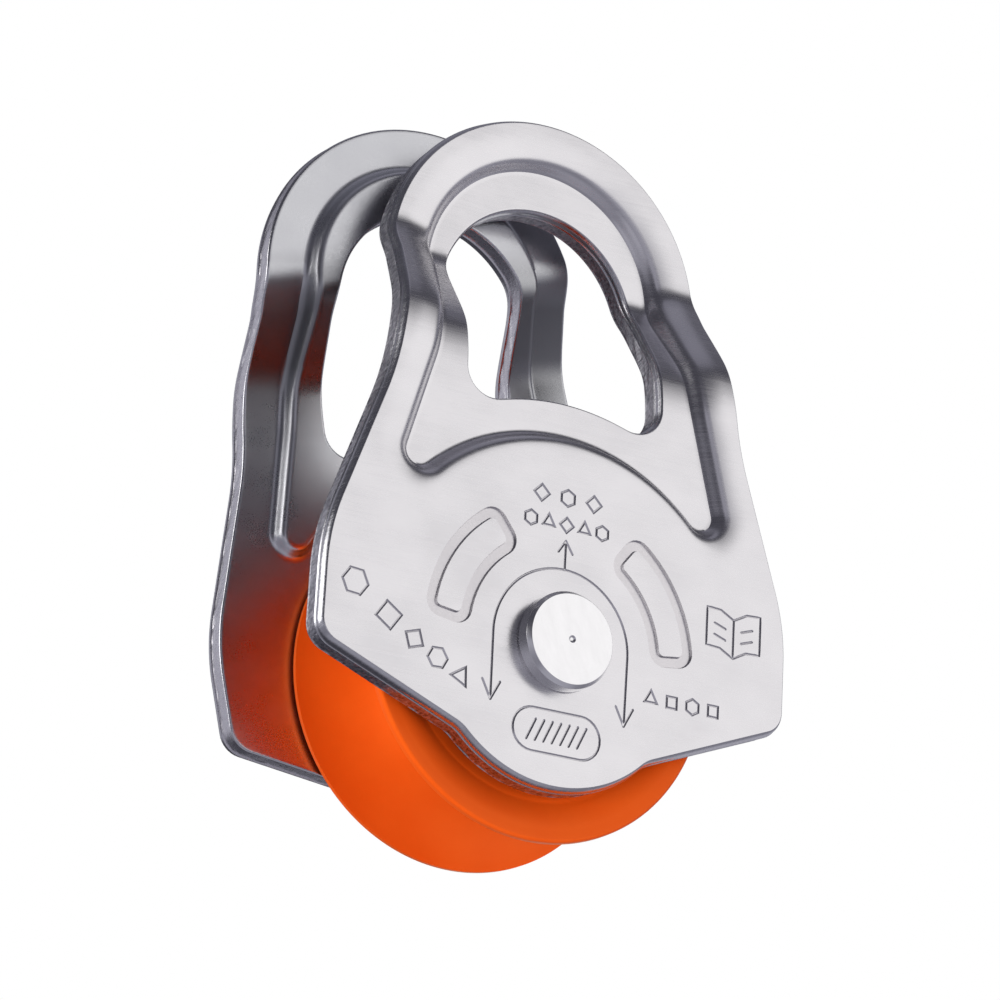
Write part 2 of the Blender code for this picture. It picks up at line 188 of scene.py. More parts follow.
def inset(loop, distance):
    """Loop moved inwards."""
    return loop + inward(loop) * distance


def inside(points, loop):
    """Even-odd test of points against a closed loop."""
    hit = np.zeros(len(points), bool)
    x, z = points[:, 0], points[:, 1]
    for a, b in zip(loop, np.roll(loop, -1, axis=0)):
        if a[1] != b[1]:
            cross = a[0] + (z - a[1]) / (b[1] - a[1]) * (b[0] - a[0])
            hit ^= ((a[1] > z) != (b[1] > z)) & (x < cross)
    return hit


def distance(points, path, closed=True):
    """Distance of each point from a polyline."""
    ends = np.roll(path, -1, axis=0) if closed else path[1:]
    best = np.full(len(points), 1.0)
    for a, b in zip(path, ends):
        edge = b - a
        t = np.clip((points - a) @ edge / max(edge @ edge, 1e-18), 0.0, 1.0)
        best = np.minimum(best, np.hypot(*(points - a - t[:, None] * edge).T))
    return best


def signed(points, loop):
    """Distance from a closed loop, positive inside it."""
    return np.where(inside(points, loop), 1.0, -1.0) * distance(points, loop)


def smooth(t):
    """Smooth step from 0 to 1."""
    t = np.clip(t, 0.0, 1.0)
    return t * t * (3.0 - 2.0 * t)


# ---- contours ---------------------------------------------------------------
def plate_outline():
    """Outer contour of a plate."""
    neck = BUMP_R * math.sin(BUMP_HALF) + BUMP_NECK * math.cos(BUMP_HALF)
    neck_z = -BUMP_R * math.cos(BUMP_HALF) + BUMP_NECK * math.sin(BUMP_HALF)
    return rounded(mirrored([
        (HEAD_R, HEAD_Z + HEAD_R, HEAD_R * 0.999),
        (HEAD_R, HEAD_Z - 0.9 * MM, 8.0 * MM),
        (*WAIST, 35.0 * MM),
        (*HIP, 25.0 * MM),
        (HIP[0], FOOT_Z, 3.0 * MM),
        (neck, neck_z, 4.0 * MM),
        (0.0, -BUMP_R / math.cos(BUMP_HALF), BUMP_R)]))


def eye_outline():
    """Contour of the eye."""
    return rounded(mirrored([
        (EYE_SIDE, EYE_TOP, EYE_R),
        (EYE_SIDE, EYE_FOOT_Z, EYE_FOOT_R),
        (0.0, EYE_ARCH_R / math.cos(EYE_ARCH_HALF), EYE_ARCH_R)]))


def recess_outline():
    """Middle line of the recess border, with a lobe at each foot."""
    return rounded(mirrored([
        (RECESS_R, HEAD_Z + RECESS_R, RECESS_R * 0.999),
        (RECESS_R, HEAD_Z - 1.2 * MM, 10.0 * MM),
        (*RECESS_WAIST, 20.0 * MM),
        (*RECESS_TIP, RECESS_TIP_R),
        (0.0, ARCH_R / math.cos(ARCH_HALF), ARCH_R)]))


def kidney_outline(side, within=0.0):
    """Loop a distance within the outer border of a curved groove beside the axle."""
    mean = (KIDNEY_IN + KIDNEY_OUT) / 2.0
    half = (KIDNEY_OUT - KIDNEY_IN) / 2.0 - KIDNEY_CORNER
    trim = KIDNEY_CORNER / mean
    angles = np.linspace(KIDNEY_FROM + trim, KIDNEY_TO - trim, 13)
    spine = np.concatenate([
        np.column_stack((np.sin(angles), np.cos(angles))) * (mean + half),
        np.column_stack((np.sin(angles), np.cos(angles)))[::-1] * (mean - half)])
    grown = []
    for i, p in enumerate(spine):
        before = p - spine[i - 1]
        after = spine[(i + 1) % len(spine)] - p
        first = math.atan2(before[1], before[0]) + math.pi / 2.0
        last = math.atan2(after[1], after[0]) + math.pi / 2.0
        turn = (last - first + math.pi) % (2.0 * math.pi) - math.pi
        steps = max(1, math.ceil(abs(turn) / 0.3))
        for k in range(steps + 1):
            a = first + turn * k / steps
            grown.append(p + (KIDNEY_CORNER - within) * np.array((math.cos(a), math.sin(a))))
    loop = np.array(grown) * (side, 1.0)
    return resampled(loop, PITCH, True)


def circle(radius, steps, centre=(0.0, 0.0)):
    """Closed circle in the plan."""
    a = np.arange(steps) * 2.0 * math.pi / steps
    return np.column_stack((np.cos(a), np.sin(a))) * radius + centre


# ---- engraved marks ---------------------------------------------------------
def line(*points):
    """Open stroke through points given in millimetres."""
    return np.array(points) * MM, False


def polygon(centre, radius, sides, turn=0.0):
    """Closed regular polygon, in millimetres."""
    a = np.arange(sides) * 2.0 * math.pi / sides + turn + math.pi / 2.0
    points = np.column_stack((np.cos(a), np.sin(a))) * radius + centre
    return points * MM, True


def arrow(tip, away, half, length):
    """Two strokes that make an arrow head; away points back along the shaft."""
    tip = np.array(tip)
    back = tip + np.array(away) * length
    across = np.array((-away[1], away[0])) * half
    return [line(tip, back + across), line(tip, back - across)]


def turn_marks():
    """Arc over the axle with an arrow down each side and one up at the top."""
    radius = 8.39
    a = np.linspace(0.0, math.pi, 60)
    arc = np.column_stack((np.cos(a), np.sin(a))) * radius
    legs = np.vstack(([(8.3, -7.7)], arc, [(-8.3, -7.7)]))
    marks = [(legs * MM, False), line((0.0, radius), (0.0, 11.7))]
    marks += arrow((8.3, -7.7), (0.0, 1.0), 1.1, 2.1)
    marks += arrow((-8.3, -7.7), (0.0, 1.0), 1.1, 2.1)
    marks += arrow((0.0, 11.7), (0.0, -1.0), 0.9, 1.4)
    return marks


def symbol_row(start, end, radius, sides):
    """Row of small outline polygons from start to end, one for each side count."""
    start, end = np.array(start), np.array(end)
    way = end - start
    tilt = math.atan2(way[1], way[0])
    marks = []
    for i, count in enumerate(sides):
        if count:
            centre = start + way * i / (len(sides) - 1)
            spin = math.pi / 4.0 if count == 4 and i % 2 else 0.0
            marks.append(polygon(centre, radius, count, tilt + spin))
    return marks


def book_marks():
    """Open book pictogram."""
    left = [(21.9, 7.0), (20.2, 7.9), (18.4, 8.0), (18.4, 3.6), (20.2, 3.5), (21.9, 2.6)]
    right = [(43.8 - x, z) for x, z in left]
    marks = [line(*left, left[0]), line(*right)]
    for z in (4.9, 6.2):
        marks.append(line((19.4, z + 0.1), (20.9, z - 0.4)))
        marks.append(line((24.4, z + 0.1), (22.9, z - 0.4)))
    return marks


def badge_marks():
    """Rounded border filled with slanted hatching, below the axle."""
    half, radius, z = 3.0, 2.4, -10.0
    a = np.linspace(-math.pi / 2.0, math.pi / 2.0, 14)
    cap = np.column_stack((np.cos(a), np.sin(a))) * radius
    border = np.vstack((cap + (half, z), -cap + (-half, z)))
    marks = [(border * MM, True)]
    for k in range(-3, 4):
        marks.append(line((k * 1.05 - 0.55, z - 1.2), (k * 1.05 + 0.55, z + 1.2)))
    return marks


def engraved():
    """Every engraved stroke of the front plate, as (path, closed)."""
    marks = turn_marks() + book_marks() + badge_marks()
    marks += symbol_row((-3.3, 16.6), (3.3, 16.6), 0.95, (4, 6, 4))
    marks += symbol_row((-4.5, 13.5), (4.5, 13.5), 0.85, (6, 3, 4, 3, 6))
    marks += symbol_row((11.6, -3.9), (19.6, -3.9), 0.9, (3, 4, 6, 4))
    marks += symbol_row((-25.2, 2.0), (-21.0, -0.9), 1.55, (6, 4))
    marks += symbol_row((-17.8, -2.9), (-12.0, -5.9), 1.2, (4, 6, 3))
    return [(resampled(path, 0.5 * MM, closed), closed) for path, closed in marks]


def stroke_borders(path, closed):
    """Border polylines of a stroke, as (points, closed)."""
    half = STROKE_W / 2.0
    if closed:
        return [(inset(path, half), True), (inset(path, -half), True)]
    along = np.gradient(path, axis=0)
    along /= np.linalg.norm(along, axis=1)[:, None]
    across = np.column_stack((-along[:, 1], along[:, 0])) * half
    loop = np.vstack((path[:1] - along[:1] * half, path + across,
                      path[-1:] + along[-1:] * half, (path - across)[::-1]))
    return [(loop, True)]


# ---- plate form -------------------------------------------------------------
def share_at(where, slopes):
    """Share of a rise reached at a place, from the slopes along it."""
    at = np.linspace(slopes[0][0], slopes[-1][0], 400)
    slope = np.interp(at, *zip(*slopes))
    share = np.concatenate(([0.0], np.cumsum(slope[1:] + slope[:-1])))
    return np.interp(where, at, share / share[-1])


def between(share, start, end):
    """Value a share of the way from start to end."""
    return start + (end - start) * share


class PlateForm:
    """Contours of the plates and the depth of their faces."""

    def __init__(self):
        self.outline = plate_outline()
        self.eye = eye_outline()
        self.recess = recess_outline()
        self.bore = circle(BORE_R, 60)
        self.kidneys = [kidney_outline(side) for side in (1.0, -1.0)]
        self.strokes = engraved()

    def edges(self):
        """Contours of the sheet's edges, with their side and the radius of their roll."""
        return [(self.outline, 1.0, ROLL_BODY), (self.eye, -1.0, EYE_BODY),
                (self.bore, -1.0, BORE_BODY)]

    def constraints(self):
        """Lines that the faces' triangles follow, as (points, closed)."""
        loops = []
        for loop, sign, body in self.edges():
            width = roll_width(body)
            loops += [inset(loop, sign * d) for d in (width, width + FLAT_HEM, BACK_R)]
        loops += [inset(self.recess, d * MM) for d in BORDER_ROWS]
        loops = [resampled(loop, PITCH, True) if len(loop) > 60 else loop for loop in loops]
        loops += [kidney_outline(side, d) for side in (1.0, -1.0) for d in
                  (0.0, KIDNEY_WALL, KIDNEY_W / 2.0, KIDNEY_W - KIDNEY_WALL, KIDNEY_W)]
        lines = [(loop, True) for loop in loops]
        for path, closed in self.strokes:
            lines.append((path, closed))
            lines += stroke_borders(path, closed)
        return lines

    def depths(self, points):
        """Depths of the sheet's two faces below PLATE_OUTER, without its thickness."""
        d = signed(points, self.recess) / MM
        edge = distance(points, self.outline)
        shoulder = smooth((SHOULDER_FAR - edge) / (SHOULDER_FAR - SHOULDER_NEAR))
        outer = between(shoulder, share_at(d, STEEP_SLOPES), share_at(d, SHOULDER_SLOPES))
        found = []
        for into in (outer, share_at(d, INNER_SLOPES)):
            low = between(into, JOGGLE_LOW, JOGGLE_LOW_IN)
            high = between(into, JOGGLE_HIGH, JOGGLE_HIGH_IN)
            climb = share_at((points[:, 1] - low) / (high - low), JOGGLE_SLOPES)
            found.append(JOGGLE * climb + RECESS_D * into)
        return found

    def grooves(self, points):
        """Extra depth of the curved grooves."""
        extra = np.zeros(len(points))
        for kidney in self.kidneys:
            d = signed(points, kidney)
            wall = np.minimum(d, KIDNEY_W - d) / KIDNEY_WALL
            extra = np.maximum(extra, KIDNEY_D * np.clip(wall, 0.0, 1.0))
        return extra

    def engraving(self, points):
        """Extra depth of the engraved strokes."""
        best = np.full(len(points), 1.0)
        for path, closed in self.strokes:
            low, high = path.min(0) - STROKE_W, path.max(0) + STROKE_W
            near = np.all((points > low) & (points < high), axis=1)
            if near.any():
                best[near] = np.minimum(best[near], distance(points[near], path, closed))
        return STROKE_D * np.clip(1.0 - best / (STROKE_W / 2.0), 0.0, 1.0)


def grid_points(form, fixed):
    """Points of a hexagonal grid on the plate, clear of the fixed points."""
    low, high = form.outline.min(0), form.outline.max(0)
    rows = np.arange(low[1], high[1], GRID * math.sqrt(0.75))
    found = []
    for i, z in enumerate(rows):
        xs = np.arange(low[0] + (i % 2) * GRID / 2.0, high[0], GRID)
        found.append(np.column_stack((xs, np.full(len(xs), z))))
    points = np.vstack(found)
    keep = inside(points, form.outline) & ~inside(points, form.eye) & ~inside(points, form.bore)
    points = points[keep]
    cells = {}
    for p in fixed:
        cells.setdefault((int(p[0] // GRID), int(p[1] // GRID)), []).append(p)
    clear = []
    for p in points:
        i, j = int(p[0] // GRID), int(p[1] // GRID)
        near = [q for a in (i - 1, i, i + 1) for b in (j - 1, j, j + 1) for q in cells.get((a, b), ())]
        if all(math.dist(p, q) > 0.5 * GRID for q in near):
            clear.append(p)
    return np.array(clear)


def plan(form):
    """Triangulated plan of a plate: points and triangles."""
    coords, edges = [], []
    for path, closed in form.constraints():
        first = len(coords)
        coords += [tuple(p) for p in path]
        count = len(path)
        edges += [(first + i, first + (i + 1) % count) for i in range(count if closed else count - 1)]
    coords += [tuple(p) for p in grid_points(form, coords)]
    out = delaunay_2d_cdt([Vector(p) for p in coords], edges, [], 0, WELD, False)
    points = np.array([tuple(p) for p in out[0]])
    return points, np.array([tuple(t) for t in out[2] if len(t) == 3])


# ---- meshes -----------------------------------------------------------------
BRUSHED, SHEARED, TORN, INNER, PRESSED = range(5)   # material slots of a plate


class Shell:
    """Collects vertices and faces of one closed piece."""

    def __init__(self):
        self.verts, self.faces, self.kinds = [], [], []

    def add(self, verts, faces, kind=0):
        """Append faces that index into verts."""
        first = len(self.verts)
        self.verts += [tuple(v) for v in verts]
        self.faces += [tuple(first + i for i in f) for f in faces]
        self.kinds += [kind] * len(faces)

    def rows(self, rows, kinds):
        """Append bands of quads between closed rows of the same length."""
        count = len(rows[0])
        for k in range(len(rows) - 1):
            quads = [(i, (i + 1) % count, count + (i + 1) % count, count + i) for i in range(count)]
            self.add(np.vstack((rows[k], rows[k + 1])), quads, kinds[k])

    def piece(self, name, materials):
        """Weld the parts into one object."""
        mesh = bpy.data.meshes.new(name)
        mesh.from_pydata(self.verts, [], self.faces)
        for mat in materials:
            mesh.materials.append(mat)
        mesh.polygons.foreach_set("material_index", self.kinds)
        bm = bmesh.new()
        bm.from_mesh(mesh)
        bmesh.ops.remove_doubles(bm, verts=bm.verts, dist=WELD)
        bmesh.ops.recalc_face_normals(bm, faces=bm.faces)
        for face in bm.faces:
            face.smooth = True
        bm.to_mesh(mesh)
        bm.free()
        mesh.set_sharp_from_angle(angle=SHARP)
        obj = bpy.data.objects.new(name, mesh)
        bpy.context.scene.collection.objects.link(obj)
        return obj


def roll_width(body):
    """Width of a rolled edge seen from the front."""
    return ROLL_NOSE * math.sin(ROLL_TURN) + body * (1.0 - math.sin(ROLL_TURN))


def edge_profile(body):
    """Rows (inset, depth, kind) across the sheet's edge, from outer to inner face."""
    rows = []
    for k in range(6):
        a = ROLL_TURN * k / 5.0
        rows.append((roll_width(body) - ROLL_NOSE * math.sin(a), ROLL_NOSE * (1.0 - math.cos(a)), BRUSHED))
    nose_depth = rows[-1][1]
    for k in range(1, 8):
        a = ROLL_TURN + (math.pi / 2.0 - ROLL_TURN) * k / 7.0
        deep = nose_depth + body * (math.cos(ROLL_TURN) - math.cos(a))
        rows.append((body * (1.0 - math.sin(a)), deep, SHEARED))
    rows += [(0.0, d, SHEARED) for d in np.linspace(rows[-1][1], SHEAR_AT - LIP_T, 3)[1:]]
    rows += [(-0.3 * SHEAR_LIP, SHEAR_AT - 0.5 * LIP_T, SHEARED), (-SHEAR_LIP, SHEAR_AT, SHEARED)]
    end = PLATE_T - BACK_R
    rows += [(TEAR_IN, d, TORN) for d in np.linspace(SHEAR_AT + 0.09 * MM, end - 0.12 * MM, 11)]
    for k in range(5):
        a = math.pi / 2.0 * k / 4.0
        rows.append((BACK_R * (1.0 - math.cos(a)), end + BACK_R * math.sin(a), SHEARED))
    return rows


def tear_noise(count, rows, seed):
    """Slanted roughness (rows, count) of a torn edge, mostly from -1 to 1."""
    rng = np.random.default_rng(seed)
    base = rng.normal(size=count)
    kernel = np.array((0.25, 0.5, 0.25))
    ring = np.convolve(np.tile(base, 3), kernel, "same")[count:2 * count]
    field = []
    for k in range(rows):
        slanted = np.roll(ring, k) * 0.8 + rng.normal(size=count) * 0.35
        field.append(slanted)
    return np.clip(np.array(field), -1.6, 1.6)


def edge_rows(form, loop, sign, body, seed):
    """Plan rows, their depths and the kinds between them, across the edge of a loop."""
    profile = edge_profile(body)
    noise = tear_noise(len(loop), len(profile), seed)
    normal = inward(loop) * sign
    rows = []
    for k, (move, _, kind) in enumerate(profile):
        move = np.full(len(loop), move)
        if kind == TORN:
            move = move + noise[k] * TEAR_ROUGH
        rows.append(loop + normal * move[:, None])
    depths = form.depths(np.vstack(rows))[0].reshape(len(rows), -1)
    depths = depths + np.array([deep for _, deep, _ in profile])[:, None]
    kinds = [kind for _, _, kind in profile]
    return rows, depths, [max(a, b) for a, b in zip(kinds, kinds[1:])]


class Sheet:
    """Faces and edges of a pressed plate, laid out in the plan and shared by both plates."""

    def __init__(self):
        self.form = PlateForm()
        self.points, tris = plan(self.form)
        self.front, self.back = self.form.depths(self.points)
        self.groove = self.form.grooves(self.points)
        self.mark = self.form.engraving(self.points)
        mid = self.points[tris].mean(axis=1)
        self.outer = self.kept(tris, mid, roll_width)
        self.inner = self.kept(tris, mid, lambda body: BACK_R)
        self.edges = [edge_rows(self.form, loop, sign, body, seed)
                      for seed, (loop, sign, body) in enumerate(self.form.edges())]

    def kept(self, tris, mid, width):
        """Triangles of a face, which ends at the given width from each edge."""
        keep = np.ones(len(mid), bool)
        for loop, sign, body in self.form.edges():
            keep &= inside(mid, inset(loop, sign * width(body))) == (sign > 0.0)
        return tris[keep]

    def add_face(self, shell, tris, depth, place, kinds):
        """Append one face of the plate to a shell."""
        used = np.unique(tris)
        index = np.zeros(len(self.points), int)
        index[used] = np.arange(len(used))
        verts = place(self.points[used], depth[used])
        for kind in np.unique(kinds):
            shell.add(verts, index[tris[kinds == kind]], int(kind))


def build_plate(name, side, swing, sheet, materials, marked):
    """Side plate as one welded shell; side is -1 for the front one."""
    turn = np.array(Matrix.Rotation(-swing, 3, "Y"))

    def place(p, depth):
        return np.column_stack((p[:, 0], side * (PLATE_OUTER - depth), p[:, 1])) @ turn.T

    shell = Shell()
    depth = sheet.front + sheet.groove + (sheet.mark if marked else 0.0)
    pressed = (sheet.groove[sheet.outer] > 0.9 * KIDNEY_D).all(axis=1)
    sheet.add_face(shell, sheet.outer, depth, place, np.where(pressed, PRESSED, BRUSHED))
    sheet.add_face(shell, sheet.inner, sheet.back + PLATE_T, place, np.full(len(sheet.inner), INNER))
    for rows, depths, kinds in sheet.edges:
        shell.rows([place(row, deep) for row, deep in zip(rows, depths)], kinds)
    obj = shell.piece(name, materials)
    obj.location = (0.0, 0.0, AXLE_Z)
    return obj


# ---- turned pieces ----------------------------------------------------------
def turned(name, corners, material, steps=144):
    """Piece turned round the axle from closed profile corners (radius, y, fillet) in mm."""
    profile = rounded([(r * MM, y * MM, f * MM) for r, y, f in corners], 0.08 * MM)
    return spun(name, profile, material, steps)


def spun(name, profile, material, steps):
    """Piece turned round the axle from a closed (radius, y) profile."""
    a = np.arange(steps) * 2.0 * math.pi / steps
    rows = [np.column_stack((r * np.sin(a), np.full(steps, y), r * np.cos(a)))
            for r, y in np.vstack((profile, profile[:1]))]
    shell = Shell()
    shell.rows(rows, [0] * (len(rows) - 1))
    obj = shell.piece(name, [material])
    obj.location = (0.0, 0.0, AXLE_Z)
    return obj


# ---- sheave -----------------------------------------------------------------
SHEAVE_R = 21.0
ROOT_R = 10.5
RIM_Y = 8.4
FLANGE_Y = 9.3
RIM_ROUND = 0.42
DISH_R = 16.4
DISH_Y = 8.3
POCKET_R = 8.9
POCKET_Y = 4.0
WEB_T = 1.2
HUB_Y = 7.0
HUB_BORE = 6.6
RIBS = 6
RIB_PHASE = math.radians(-23.0)
RIB_HALF = 0.6
RIB_FILLET = 0.5
SHEAVE_STEPS = 432


def groove_half_width(radius):
    """Half-width of the rope groove at a radius, in millimetres."""
    share = (SHEAVE_R - radius) / (SHEAVE_R - ROOT_R)
    return RIM_Y * math.sqrt(max(0.0, 1.0 - share * share))


def groove_profile():
    """Half-ellipse groove from the front rim to the rear rim, as (radius, y)."""
    a = np.linspace(0.0, math.pi, 61)[1:-1]
    return np.column_stack((SHEAVE_R - (SHEAVE_R - ROOT_R) * np.sin(a), -RIM_Y * np.cos(a)))


def flange_profile():
    """Side of the flange from the dish out over the rounded rim."""
    rim = [(SHEAVE_R - 0.02, RIM_Y)]
    for k in range(9):
        a = math.pi / 2.0 * k / 8.0
        rim.append((SHEAVE_R - RIM_ROUND * (1.0 - math.cos(a)) - 0.03,
                    FLANGE_Y - RIM_ROUND * (1.0 - math.sin(a))))
    out = [(DISH_R + (SHEAVE_R - 1.2 - DISH_R) * k / 12.0,
            DISH_Y + (FLANGE_Y - 0.1 - DISH_Y) * math.sin(math.pi / 2.0 * k / 12.0))
           for k in range(13)]
    return out + rim[::-1]


def side_profile(deep):
    """Side face from the bore to the groove; deep is the share of the full pocket depth."""
    points = [(HUB_BORE, HUB_Y - 0.25), (HUB_BORE + 0.25, HUB_Y), (POCKET_R - 0.9, HUB_Y)]
    for k in range(25):
        share = k / 24.0
        radius = POCKET_R - 0.6 + (DISH_R - POCKET_R + 0.5) * share
        rib = HUB_Y + (DISH_Y - HUB_Y) * share
        floor = min(rib, max(POCKET_Y, groove_half_width(radius) + WEB_T))
        wall = smooth(np.array((radius - POCKET_R + 0.6) / 0.8)) * smooth(np.array((DISH_R - radius) / 0.9))
        points.append((radius, rib - (rib - floor) * float(wall) * deep))
    return np.array(points + flange_profile())


def build_sheave(material):
    """Moulded sheave with a deep groove and ribbed pockets in both sides."""
    groove = groove_profile()
    spacing = 2.0 * math.pi / RIBS
    rows = []
    for k in range(SHEAVE_STEPS):
        angle = 2.0 * math.pi * k / SHEAVE_STEPS
        off = abs((angle - RIB_PHASE + spacing / 2.0) % spacing - spacing / 2.0)
        away = off * (POCKET_R + DISH_R) / 2.0 - RIB_HALF
        side = side_profile(float(smooth(np.array(away / RIB_FILLET))))
        profile = np.vstack((side * (1.0, -1.0), groove, side[::-1])) * MM
        rows.append(np.column_stack((profile[:, 0] * math.sin(angle), profile[:, 1],
                                     -profile[:, 0] * math.cos(angle))))
    shell = Shell()
    shell.rows(rows + rows[:1], [0] * SHEAVE_STEPS)
    obj = shell.piece("sheave_detail", [material])
    obj.location = (0.0, 0.0, AXLE_Z)
    return obj


# ---- axle, sleeve, bushes and washers ---------------------------------------
HEAD_FACE_R = 5.15
HEAD_R_MAX = 5.4
PIN_R = 3.5
SLEEVE_R = 5.0
BUSH_IN = 5.3
BUSH_OUT = 6.3
BUSH_FLANGE_R = 7.9
WASHER_R = 8.2
GAP = 0.3


def build_axle(material, collar_material):
    """Axle pin with its dimpled front head, and the collar riveted on at the rear."""
    face = HEAD_Y / MM
    under = PLATE_OUTER / MM + 0.04
    head = [(0.0, -face + 0.14, 0.01), (0.18, -face + 0.13, 0.08), (0.42, -face + 0.005, 0.12),
            (1.6, -face, 0.5), (HEAD_FACE_R - 0.12, -face, 0.06),
            (HEAD_R_MAX, -face + 0.55, 0.15), (HEAD_R_MAX, -under - 0.25, 0.08),
            (HEAD_R_MAX - 0.25, -under, 0.08), (PIN_R, -under, 0.02)]
    tail = [(PIN_R, face - 0.9, 0.1), (4.2, face - 0.1, 0.08), (4.2, face - 0.02, 0.03),
            (3.4, face, 0.2), (0.0, face, 0.01)]
    pin = turned("axle_pin_detail", head + tail, material)
    ring = [(PIN_R + GAP, under, 0.05), (HEAD_R_MAX, under, 0.15), (HEAD_R_MAX, face - 0.3, 0.12),
            (HEAD_FACE_R, face, 0.06), (4.35, face, 0.05), (4.30, face - 0.2, 0.05),
            (PIN_R + GAP, face - 1.2, 0.05)]
    return pin, turned("axle_collar_detail", ring, collar_material)


def ring_corners(inner, outer, near, far, fillet):
    """Closed profile of a plain ring, in millimetres."""
    return [(inner, near, fillet), (outer, near, fillet), (outer, far, fillet), (inner, far, fillet)]


def build_bearings(mats):
    """Sleeve over the pin, and a flanged bush and a washer on each side."""
    inner = (PLATE_OUTER - PLATE_T) / MM
    end = inner - GAP
    tube = ring_corners(PIN_R + GAP, SLEEVE_R, -end, end, 0.2)
    sleeve = turned("axle_sleeve_detail", tube, mats["sleeve"])
    made = [("axle", "axle_sleeve", "ground_steel_sleeve", sleeve)]
    for label, side in (("front", -1.0), ("rear", 1.0)):
        outer = side * (inner - 2.0 * GAP - 0.7)
        step = side * (inner - 2.0 * GAP - 1.6)
        corners = [(BUSH_IN, outer, 0.15), (BUSH_FLANGE_R, outer, 0.2), (BUSH_FLANGE_R, step, 0.2),
                   (BUSH_OUT, step, 0.1), (BUSH_OUT, side * 0.5, 0.1), (BUSH_IN, side * 0.5, 0.1)]
        bush = turned(label + "_bush_detail", corners, mats["bush"])
        ring = ring_corners(BUSH_IN, WASHER_R, side * end, side * (end - 0.7), 0.12)
        washer = turned(label + "_washer_detail", ring, mats["acetal"])
        made.append(("wheel", label + "_bush", "bush_liner_" + label, bush))
        made.append(("axle", label + "_washer", "acetal_washer_" + label, washer))
    return made


# ---- materials --------------------------------------------------------------
def node(tree, kind, inputs=None, **settings):
    """New shader node; an input may be a value or another node's output socket."""
    made = tree.nodes.new("ShaderNode" + kind)
    for key, value in settings.items():
        setattr(made, key, value)
    for key, value in (inputs or {}).items():
        if isinstance(value, bpy.types.NodeSocket):
            tree.links.new(value, made.inputs[key])
        else:
            made.inputs[key].default_value = value
    return made


def shader_of(name):
    """New material: its node tree and its Principled shader."""
    mat = bpy.data.materials.new(name)
    mat.use_nodes = True
    return mat, mat.node_tree, mat.node_tree.nodes["Principled BSDF"]


def set_values(shader, **values):
    """Plain values on the shader's own sockets; a name's underscores stand for spaces."""
    for key, value in values.items():
        shader.inputs[key.replace("_", " ")].default_value = value


def place_of(tree, turn=0.0, scale=(1.0, 1.0, 1.0)):
    """Object coordinates turned about Y and scaled."""
    where = node(tree, "TexCoord").outputs["Object"]
    turned_by = node(tree, "Mapping", {"Vector": where, "Rotation": (0.0, turn, 0.0)})
    return node(tree, "Mapping", {"Vector": turned_by.outputs[0], "Scale": scale}).outputs[0]


def noise(tree, vector, scale=1.0, detail=2.0, rough=0.5):
    """Noise value from 0 to 1."""
    inputs = {"Vector": vector, "Scale": scale, "Detail": detail, "Roughness": rough}
    return node(tree, "TexNoise", inputs).outputs["Fac"]


def summed(tree, first, second):
    """Sum of two values."""
    return node(tree, "Math", {0: first, 1: second}, operation="ADD").outputs[0]


def spread(tree, value, low, high, start=0.3, end=0.7):
    """Value remapped from start..end to low..high."""
    inputs = {"Value": value, "From Min": start, "From Max": end, "To Min": low, "To Max": high}
    return node(tree, "MapRange", inputs).outputs["Result"]


def blend_colours(tree, share, first, second):
    """Colour between two, by a share."""
    mix = node(tree, "Mix", data_type="RGBA")
    tree.links.new(share, mix.inputs["Factor"])
    for key, value in (("A", first), ("B", second)):
        socket = next(s for s in mix.inputs if s.name == key and s.type == "RGBA")
        if isinstance(value, bpy.types.NodeSocket):
            tree.links.new(value, socket)
        else:
            socket.default_value = (*value, 1.0)
    return next(s for s in mix.outputs if s.type == "RGBA")


def bumped(tree, height, distance, strength=1.0, below=None):
    """Bump normal from a height, over another bump if one is given."""
    inputs = {"Height": height, "Distance": distance, "Strength": strength}
    if below is not None:
        inputs["Normal"] = below
    return node(tree, "Bump", inputs).outputs["Normal"]


def brushed_metal(name, turn, light, dark):
    """Pale sheet metal with fine brushing along the plate's width."""
    mat, tree, shader = shader_of(name)
    lines = noise(tree, place_of(tree, turn, (260.0, 260.0, 9000.0)), detail=3.0, rough=0.6)
    long_lines = noise(tree, place_of(tree, turn, (70.0, 70.0, 3800.0)), detail=3.0, rough=0.6)
    cloud = noise(tree, place_of(tree, turn, (130.0, 130.0, 190.0)), detail=3.0)
    both = summed(tree, lines, long_lines)
    tone = blend_colours(tree, spread(tree, both, 0.0, 1.0, 0.7, 1.3), dark, light)
    set_values(shader, Metallic=1.0)
    tree.links.new(tone, shader.inputs["Base Color"])
    rough = summed(tree, spread(tree, both, 0.22, 0.29, 0.75, 1.25), spread(tree, cloud, -0.02, 0.05))
    tree.links.new(rough, shader.inputs["Roughness"])
    fine = bumped(tree, both, 0.000003, 0.18)
    tree.links.new(bumped(tree, cloud, 0.00002, 0.2, fine), shader.inputs["Normal"])
    return mat


def joggle_shade_zone(tree, turn):
    """1 over the joggle's bend and 0 away from it: the mask of a painted shade."""
    height = node(tree, "SeparateXYZ", {0: place_of(tree, turn)}).outputs[2]
    start = spread(tree, height, 0.0, 1.0, JOGGLE_LOW_IN - 5.0 * MM, JOGGLE_LOW_IN + 4.0 * MM)
    end = spread(tree, height, 1.0, 0.0, JOGGLE_HIGH - 4.0 * MM, JOGGLE_HIGH + 3.0 * MM)
    return node(tree, "Math", {0: start, 1: end}, operation="MULTIPLY").outputs[0]


